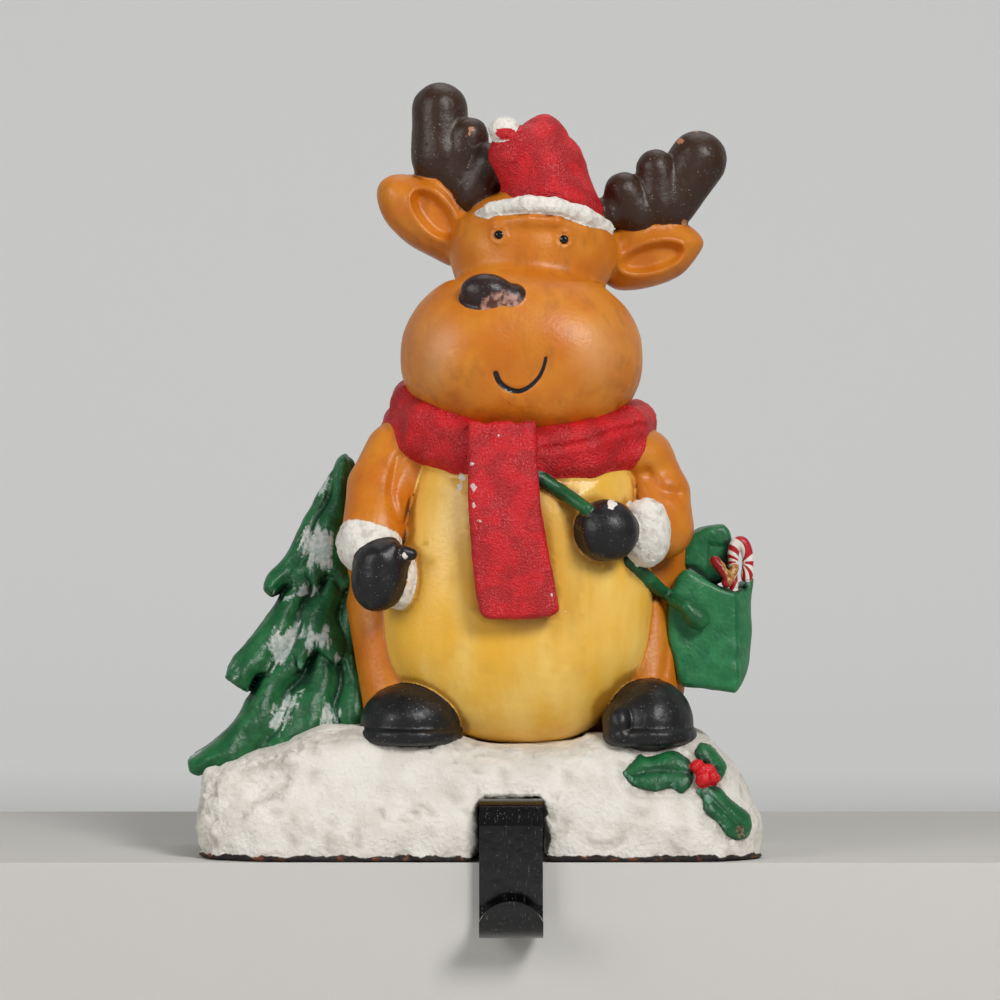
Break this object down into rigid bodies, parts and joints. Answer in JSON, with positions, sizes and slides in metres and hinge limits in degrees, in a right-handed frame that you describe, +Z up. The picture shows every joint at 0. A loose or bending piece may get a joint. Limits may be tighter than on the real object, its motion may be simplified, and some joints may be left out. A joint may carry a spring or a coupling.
{
  "type": "mantel stocking holder",
  "caption": "Cast and painted reindeer on a snow mound that rests on a mantel shelf, with a strap hook over the shelf's edge for a hanging stocking.",
  "frame": {"origin": "on the resting face of the mound, in the middle of the hook's width, between the front edge and the flat back", "axes": "+Z up from the shelf, -Y to the front where the hook hangs, +X to the right of the front view"},
  "size_m": [0.1401, 0.072, 0.2058],
  "materials": {
    "painted_iron": "hand-painted cast iron, satin, with sand grain and worn spots",
    "black_enamel": "gloss black enamel on steel strap",
    "zinc_steel": "plain zinc-plated screw"
  },
  "bodies": {
    "root": {"figure_casting": "painted_iron", "hook_strap": "black_enamel", "hook_screw": "zinc_steel"}
  },
  "joints": []
}
